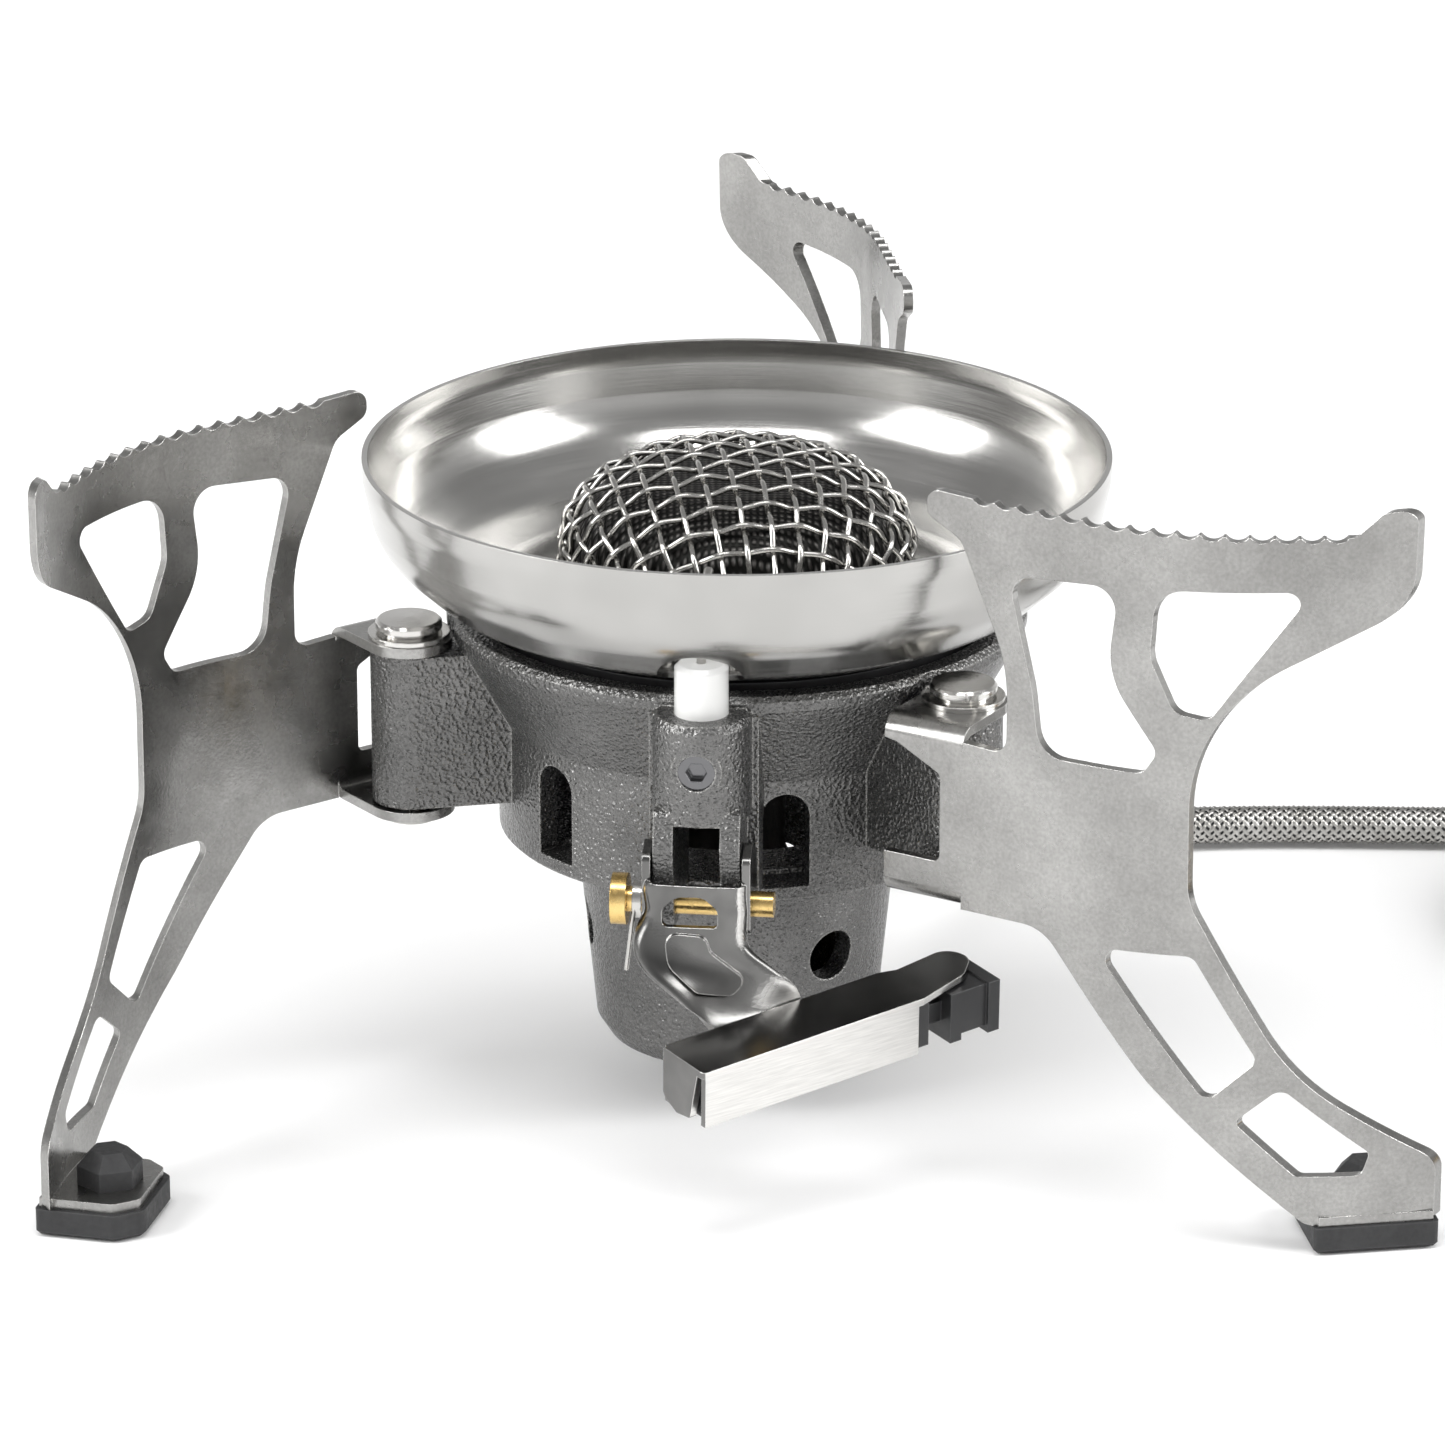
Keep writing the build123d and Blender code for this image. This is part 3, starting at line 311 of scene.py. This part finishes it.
def cloth_wire(line, reach, family, index):
    """Centre line of one crimped wire, or nothing where it would miss the cloth."""
    pitch = WIRE_PITCH * MM
    offset = (index + 0.5 * family) * pitch
    if abs(offset) >= reach - CLOTH_MARGIN * pitch:
        return []
    half = math.sqrt(reach * reach - offset * offset)
    samples = max(8, int(2 * half * SAMPLES_PER_PITCH / pitch))
    sign = 1 if (index + family) % 2 == 0 else -1
    centres = []
    for k in range(samples + 1):
        run = -half + 2 * half * k / samples
        u, v = (run, offset) if family == 0 else (offset, run)
        phase = run / pitch - (0.5 if family == 0 else 0.0)
        wave = sign * math.cos(math.pi * phase)
        point, normal = dome_place(line, u, v)
        centres.append(point + normal * (wave * WIRE_CRIMP * MM))
    return centres


def woven_dome(material):
    """Wire cloth pressed into a dome: two sets of crimped wires."""
    line = dome_line()
    reach = line_length(line)
    count = int(reach / (WIRE_PITCH * MM)) + 1
    bm = bmesh.new()
    for family in (0, 1):
        for index in range(-count, count + 1):
            centres = cloth_wire(line, reach, family, index)
            if centres:
                add_tube(bm, centres, WIRE_R * MM)
    dome = make_object("woven_mesh_dome", bm, material)
    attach(dome, "root")
    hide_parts("mesh_cap")


# ---- material building ----
class Shader:
    """A new material with helpers for chaining its nodes."""

    def __init__(self, name, colour, roughness, metallic=0.0):
        self.material = bpy.data.materials.new(name)
        self.material.use_nodes = True
        self.tree = self.material.node_tree
        self.bsdf = self.tree.nodes["Principled BSDF"]
        self.bsdf.inputs["Base Color"].default_value = (*colour, 1)
        self.bsdf.inputs["Roughness"].default_value = roughness
        self.bsdf.inputs["Metallic"].default_value = metallic
        self.coords = self.new("ShaderNodeTexCoord").outputs["Object"]
        self.normal = None

    def new(self, kind, **values):
        node = self.tree.nodes.new(kind)
        for key, value in values.items():
            setattr(node, key, value)
        return node

    def link(self, source, target):
        self.tree.links.new(source, target)

    def mapped(self, scale):
        """Object coordinates stretched by a scale for each axis."""
        node = self.new("ShaderNodeMapping")
        node.inputs["Scale"].default_value = scale
        self.link(self.coords, node.inputs["Vector"])
        return node.outputs[0]

    def noise(self, scale, detail=2.0, roughness=0.5, vector=None):
        """Noise between 0 and 1. The scale is in cycles per metre."""
        node = self.new("ShaderNodeTexNoise")
        node.inputs["Scale"].default_value = scale
        node.inputs["Detail"].default_value = detail
        node.inputs["Roughness"].default_value = roughness
        self.link(self.coords if vector is None else vector, node.inputs["Vector"])
        return node.outputs["Fac"]

    def cells(self, scale):
        """Rounded bumps packed side by side. The scale is in bumps per metre."""
        node = self.new("ShaderNodeTexVoronoi", feature="SMOOTH_F1")
        node.inputs["Scale"].default_value = scale
        self.link(self.coords, node.inputs["Vector"])
        return node.outputs["Distance"]

    def ramp(self, source, stops):
        """Grey ramp over (position, value) stops."""
        node = self.new("ShaderNodeValToRGB")
        for element, (position, value) in zip(node.color_ramp.elements, stops):
            element.position = position
            element.color = (value, value, value, 1)
        self.link(source, node.inputs["Fac"])
        return node.outputs["Color"]

    def math(self, operation, a, b=0.0):
        node = self.new("ShaderNodeMath", operation=operation)
        for socket, value in zip(node.inputs, (a, b)):
            if isinstance(value, (int, float)):
                socket.default_value = value
            else:
                self.link(value, socket)
        return node.outputs[0]

    def mix(self, factor, a, b, blend="MIX"):
        """Colour mix of two sockets or colours."""
        node = self.new("ShaderNodeMix", data_type="RGBA", blend_type=blend)
        for index, value in ((0, factor), (6, a), (7, b)):
            if isinstance(value, tuple):
                node.inputs[index].default_value = (*value, 1)
            elif isinstance(value, (int, float)):
                node.inputs[index].default_value = value
            else:
                self.link(value, node.inputs[index])
        return node.outputs[2]

    def round_edges(self, radius):
        """Softens sharp edges in the shading, as a real edge's small radius does."""
        node = self.new("ShaderNodeBevel", samples=4)
        node.inputs["Radius"].default_value = radius
        self.normal = node.outputs[0]

    def bump(self, height, depth):
        """Adds a height pattern, in metres of depth, to the shading normal."""
        node = self.new("ShaderNodeBump")
        node.inputs["Distance"].default_value = depth
        node.inputs["Strength"].default_value = 1.0
        self.link(height, node.inputs["Height"])
        if self.normal is not None:
            self.link(self.normal, node.inputs["Normal"])
        self.normal = node.outputs[0]

    def facing(self, normal_a, direction):
        """How far a normal points in a direction, or along another normal."""
        node = self.new("ShaderNodeVectorMath", operation="DOT_PRODUCT")
        self.link(normal_a, node.inputs[0])
        if isinstance(direction, tuple):
            node.inputs[1].default_value = direction
        else:
            self.link(direction, node.inputs[1])
        return node.outputs["Value"]

    def painted_edge_highlight(self, radius):
        """Mask of the edges, where the rounded normal leaves the true one: it marks where a painted
        highlight goes.
        """
        bevel = self.new("ShaderNodeBevel", samples=4)
        bevel.inputs["Radius"].default_value = radius
        geometry = self.new("ShaderNodeNewGeometry")
        rounding = self.facing(bevel.outputs[0], geometry.outputs["Normal"])
        return self.ramp(rounding, [(0.75, 1.0), (0.985, 0.0)])

    def done(self, colour=None, roughness=None):
        if colour is not None:
            self.link(colour, self.bsdf.inputs["Base Color"])
        if roughness is not None:
            self.link(roughness, self.bsdf.inputs["Roughness"])
        if self.normal is not None:
            self.link(self.normal, self.bsdf.inputs["Normal"])
        return self.material


# ---- materials ----
# Light grey that the edges are painted with: a painted highlight.
EDGE_HIGHLIGHT_GREY = (0.80, 0.79, 0.77)
# The way that the front of the igniter's channel faces; faces turned this way get a painted reflection
# of the front light.
PANEL_FACING = (0.585, -0.81, -0.087)


def satin_steel(name):
    """Tumbled stainless sheet: fine pitting, cloudy tone and edges painted brighter as a painted
    highlight.
    """
    edge = 0.00012
    s = Shader(name, (0.44, 0.435, 0.423), 0.20, metallic=1.0)
    clouds = s.noise(48.0, 5.0, 0.65)
    fine = s.noise(2600.0)
    tone = s.mix(s.ramp(clouds, [(0.35, 0.0), (0.68, 1.0)]), (0.30, 0.296, 0.287), (0.44, 0.435, 0.423))
    specked = s.mix(1.0, tone, s.ramp(fine, [(0.3, 0.82), (0.7, 1.0)]), "MULTIPLY")
    # Painted highlight: the edges are painted light grey.
    colour = s.mix(s.painted_edge_highlight(edge), specked, EDGE_HIGHLIGHT_GREY)
    rough = s.ramp(s.noise(130.0, 4.0, 0.6), [(0.35, 0.20), (0.65, 0.34)])
    s.round_edges(edge)
    s.bump(fine, 0.00001)
    return s.done(colour, rough)


def lever_steel(name):
    """Darker stamped steel, with the flat front of the igniter's channel painted bright as a painted
    reflection of the front light.
    """
    edge = 0.00018
    s = Shader(name, (0.33, 0.33, 0.32), 0.24, metallic=1.0)
    clouds = s.noise(70.0, 4.0, 0.6)
    tone = s.mix(s.ramp(clouds, [(0.35, 0.0), (0.65, 1.0)]), (0.13, 0.129, 0.126), (0.24, 0.237, 0.231))
    geometry = s.new("ShaderNodeNewGeometry")
    # Painted reflection: faces turned towards PANEL_FACING are painted a bright streaked grey.
    lit_panel = s.ramp(s.facing(geometry.outputs["True Normal"], PANEL_FACING), [(0.93, 0.0), (0.98, 1.0)])
    streaks = s.noise(1.0, 3.0, 0.6, s.mapped((260.0, 260.0, 5200.0)))
    panel_reflection = s.mix(s.ramp(streaks, [(0.3, 0.0), (0.7, 1.0)]), (0.60, 0.592, 0.575), (0.74, 0.73, 0.71))
    # Painted highlight: the edges are painted light grey, over the painted reflection on the panel.
    colour = s.mix(s.painted_edge_highlight(edge), s.mix(lit_panel, tone, panel_reflection), EDGE_HIGHLIGHT_GREY)
    rough = s.mix(lit_panel, s.ramp(clouds, [(0.3, 0.17), (0.7, 0.26)]), (0.30, 0.30, 0.30))
    s.round_edges(edge)
    s.bump(s.noise(3600.0), 0.000004)
    return s.done(colour, rough)


def spun_steel(name):
    """Spun stainless: fine rings round the axis and a soft cloudiness."""
    s = Shader(name, (0.52, 0.514, 0.50), 0.15, metallic=1.0)
    split = s.new("ShaderNodeSeparateXYZ")
    s.link(s.coords, split.inputs[0])
    x, y, z = split.outputs
    radial = s.math("SQRT", s.math("ADD", s.math("POWER", x, 2.0), s.math("POWER", y, 2.0)))
    join = s.new("ShaderNodeCombineXYZ")
    s.link(s.math("MULTIPLY", s.math("ADD", radial, z), 6500.0), join.inputs["X"])
    s.link(s.math("MULTIPLY", s.math("ARCTAN2", y, x), 3.0), join.inputs["Y"])
    rings = s.noise(1.0, 3.0, 0.6, join.outputs[0])
    clouds = s.noise(40.0, 3.0)
    tone = s.mix(s.ramp(clouds, [(0.35, 0.0), (0.65, 1.0)]), (0.41, 0.405, 0.393), (0.52, 0.514, 0.50))
    rough = s.ramp(rings, [(0.3, 0.15), (0.7, 0.25)])
    s.round_edges(0.0001)
    s.bump(rings, 0.000006)
    return s.done(tone, rough)


def grained_paint(name):
    """Dark grey casting paint with a fine bumpy grain that glints, and edges painted brighter as a
    painted highlight.
    """
    s = Shader(name, (0.15, 0.15, 0.15), 0.34, metallic=0.85)
    grain = s.noise(3000.0, 1.0)
    clouds = s.noise(90.0, 3.0)
    base = s.mix(s.ramp(clouds, [(0.3, 0.0), (0.7, 1.0)]), (0.125, 0.124, 0.122), (0.185, 0.183, 0.180))
    # Painted highlight: the edges are painted a lighter grey.
    colour = s.mix(s.painted_edge_highlight(0.00035), base, (0.42, 0.415, 0.40))
    rough = s.ramp(grain, [(0.35, 0.34), (0.65, 0.22)])
    s.round_edges(0.0003)
    s.bump(s.math("ADD", s.cells(2500.0), s.math("MULTIPLY", grain, 0.6)), 0.00022)
    return s.done(colour, rough)


def polished_steel(name, colour=(0.62, 0.61, 0.59)):
    """Polished turned steel with a few fine handling marks."""
    s = Shader(name, colour, 0.14, metallic=1.0)
    marks = s.noise(900.0, 4.0, 0.7, s.mapped((1.0, 1.0, 6.0)))
    rough = s.ramp(marks, [(0.35, 0.10), (0.7, 0.26)])
    s.round_edges(0.00022)
    s.bump(marks, 0.000005)
    return s.done(None, rough)


def braid_wire(name):
    """Drawn stainless wire of the hose's braid."""
    s = Shader(name, (0.50, 0.49, 0.47), 0.30, metallic=1.0)
    clouds = s.noise(420.0, 3.0)
    tone = s.mix(s.ramp(clouds, [(0.35, 0.0), (0.65, 1.0)]), (0.40, 0.39, 0.37), (0.58, 0.57, 0.55))
    rough = s.ramp(s.noise(2400.0), [(0.3, 0.26), (0.7, 0.40)])
    s.bump(s.noise(5200.0), 0.00002)
    return s.done(tone, rough)


def brass(name):
    """Turned brass, a little dulled."""
    s = Shader(name, (0.78, 0.56, 0.22), 0.22, metallic=1.0)
    clouds = s.noise(260.0, 3.0)
    tone = s.mix(s.ramp(clouds, [(0.35, 0.0), (0.7, 1.0)]), (0.62, 0.42, 0.15), (0.86, 0.63, 0.27))
    rough = s.ramp(s.noise(1400.0), [(0.3, 0.16), (0.7, 0.32)])
    s.round_edges(0.00015)
    return s.done(tone, rough)


def ceramic(name):
    """Glazed white ceramic with a faint unevenness."""
    s = Shader(name, (0.86, 0.86, 0.84), 0.22)
    s.bsdf.inputs["Coat Weight"].default_value = 0.4
    s.bsdf.inputs["Coat Roughness"].default_value = 0.08
    tone = s.mix(s.noise(240.0), (0.80, 0.80, 0.78), (0.90, 0.90, 0.89))
    s.round_edges(0.0003)
    s.bump(s.noise(500.0), 0.00002)
    return s.done(tone)


def black_plastic(name, rough_low, rough_high, grain, depth):
    """Moulded black plastic or rubber with a fine surface grain."""
    s = Shader(name, (0.02, 0.02, 0.02), rough_low)
    pattern = s.noise(grain, 3.0)
    tone = s.mix(s.noise(300.0, 3.0), (0.012, 0.012, 0.013), (0.030, 0.030, 0.031))
    # Painted highlight: the edges are painted a slightly lighter black.
    colour = s.mix(s.painted_edge_highlight(0.0003), tone, (0.06, 0.06, 0.062))
    rough = s.ramp(pattern, [(0.3, rough_low), (0.7, rough_high)])
    s.round_edges(0.0002)
    s.bump(pattern, depth)
    return s.done(colour, rough)


def dark_gauze(name):
    """Fine heat-darkened wire cloth."""
    s = Shader(name, (0.06, 0.058, 0.055), 0.45, metallic=0.9)
    waves = []
    for axis in ("X", "Y"):
        wave = s.new("ShaderNodeTexWave", wave_type="BANDS", bands_direction=axis)
        wave.inputs["Scale"].default_value = 420.0
        s.link(s.coords, wave.inputs["Vector"])
        waves.append(wave.outputs["Fac"])
    weave = s.math("MULTIPLY", waves[0], waves[1])
    colour = s.mix(s.ramp(weave, [(0.15, 0.0), (0.8, 1.0)]), (0.012, 0.012, 0.011), (0.12, 0.115, 0.11))
    s.bump(weave, 0.0002)
    return s.done(colour)


def anodised(name):
    """Grey anodised aluminium."""
    s = Shader(name, (0.22, 0.22, 0.23), 0.35, metallic=0.9)
    fine = s.noise(2200.0)
    rough = s.ramp(fine, [(0.3, 0.28), (0.7, 0.42)])
    # Painted highlight: the edges are painted a light grey.
    colour = s.mix(s.painted_edge_highlight(0.00025), (0.20, 0.20, 0.21), (0.55, 0.55, 0.56))
    s.round_edges(0.0002)
    s.bump(fine, 0.00001)
    return s.done(colour, rough)


def make_materials():
    """One material for each slot of the record."""
    return {
        "leg_steel": satin_steel("leg_steel"),
        "bowl_steel": spun_steel("bowl_steel"),
        "mesh_steel": polished_steel("mesh_steel", (0.50, 0.49, 0.47)),
        "gauze_steel": dark_gauze("gauze_steel"),
        "inner_steel": polished_steel("inner_steel", (0.40, 0.39, 0.38)),
        "cast_paint": grained_paint("cast_paint"),
        "seat_black": black_plastic("seat_black", 0.30, 0.45, 1600.0, 0.00004),
        "rivet_steel": polished_steel("rivet_steel"),
        "ceramic_white": ceramic("ceramic_white"),
        "screw_steel": polished_steel("screw_steel", (0.16, 0.16, 0.165)),
        "electrode_steel": polished_steel("electrode_steel", (0.45, 0.44, 0.42)),
        "brass_parts": brass("brass_parts"),
        "lever_steel": lever_steel("lever_steel"),
        "spring_steel": polished_steel("spring_steel", (0.55, 0.54, 0.52)),
        "piezo_plastic": black_plastic("piezo_plastic", 0.28, 0.40, 2400.0, 0.00001),
        "pad_rubber": black_plastic("pad_rubber", 0.50, 0.68, 1500.0, 0.00004),
        "hose_braid": braid_wire("hose_braid"),
        "valve_alloy": anodised("valve_alloy"),
        "seal_rubber": black_plastic("seal_rubber", 0.40, 0.55, 1800.0, 0.00002),
    }


def dress_cad(materials):
    """Gives every CAD node the material of its slot."""
    slots = {part["node"]: part["material_slot"] for part in frame["record"]["subparts"]}
    for name, piece in nodes.items():
        for slot in piece.material_slots:
            slot.material = materials[slots[name]]


# ---- floor and light ----
FLOOR_HALF = 6.0
# The floor lies just under the feet, so that the two don't share a plane.
FLOOR_Z = -0.0002
FLOOR_GREY = (0.93, 0.93, 0.93)
HORIZON_GREY = 1.0
OVERHEAD_GREY = 0.38
OVERHEAD_FROM = 0.55
LIGHT_TARGET = Vector((0, 0, 0.04))
# Each soft light's name, place, width and height, and power.
LIGHTS = [
    ("key_left", (-1.15, -0.35, 0.75), (0.75, 0.9), 17.0),
    ("key_right", (1.25, -0.25, 0.70), (0.65, 0.9), 15.0),
    ("top_front", (0.0, -0.55, 1.9), (1.3, 0.5), 16.0),
]


def make_stage():
    """Plain pale floor."""
    half = FLOOR_HALF
    corners = [(-half, -half, 0), (half, -half, 0), (half, half, 0), (-half, half, 0)]
    mesh = bpy.data.meshes.new("floor")
    mesh.from_pydata(corners, [], [(0, 1, 2, 3)])
    floor = bpy.data.objects.new("floor", mesh)
    bpy.context.collection.objects.link(floor)
    floor.location.z = FLOOR_Z
    paint = bpy.data.materials.new("floor_paint")
    paint.use_nodes = True
    shader = paint.node_tree.nodes["Principled BSDF"]
    shader.inputs["Base Color"].default_value = (*FLOOR_GREY, 1)
    shader.inputs["Roughness"].default_value = 0.85
    mesh.materials.append(paint)


def make_world():
    """White surroundings that turn grey overhead."""
    world = bpy.data.worlds.new("studio")
    bpy.context.scene.world = world
    # The default view transform would show the white floor as grey.
    bpy.context.scene.view_settings.view_transform = "Standard"
    world.use_nodes = True
    tree = world.node_tree
    tree.nodes.clear()
    output = tree.nodes.new("ShaderNodeOutputWorld")
    background = tree.nodes.new("ShaderNodeBackground")
    coords = tree.nodes.new("ShaderNodeTexCoord")
    split = tree.nodes.new("ShaderNodeSeparateXYZ")
    ramp = tree.nodes.new("ShaderNodeValToRGB")
    low, high = ramp.color_ramp.elements
    low.position = 0.0
    low.color = (HORIZON_GREY, HORIZON_GREY, HORIZON_GREY, 1)
    high.position = OVERHEAD_FROM
    high.color = (OVERHEAD_GREY, OVERHEAD_GREY, OVERHEAD_GREY, 1)
    tree.links.new(coords.outputs["Generated"], split.inputs[0])
    tree.links.new(split.outputs["Z"], ramp.inputs["Fac"])
    tree.links.new(ramp.outputs["Color"], background.inputs["Color"])
    tree.links.new(background.outputs[0], output.inputs[0])


def make_lights():
    """Rectangular soft lights turned towards the stove."""
    for name, place, size, power in LIGHTS:
        data = bpy.data.lights.new(name, "AREA")
        data.shape = "RECTANGLE"
        data.size, data.size_y = size
        data.energy = power
        light = bpy.data.objects.new(name, data)
        bpy.context.collection.objects.link(light)
        light.location = place
        light.rotation_mode = "QUATERNION"
        light.rotation_quaternion = (LIGHT_TARGET - Vector(place)).to_track_quat("-Z", "Y")


make_camera()
materials = make_materials()
braided_hose(materials["hose_braid"], materials["seal_rubber"])
woven_dome(materials["mesh_steel"])
dress_cad(materials)
make_stage()
make_world()
make_lights()
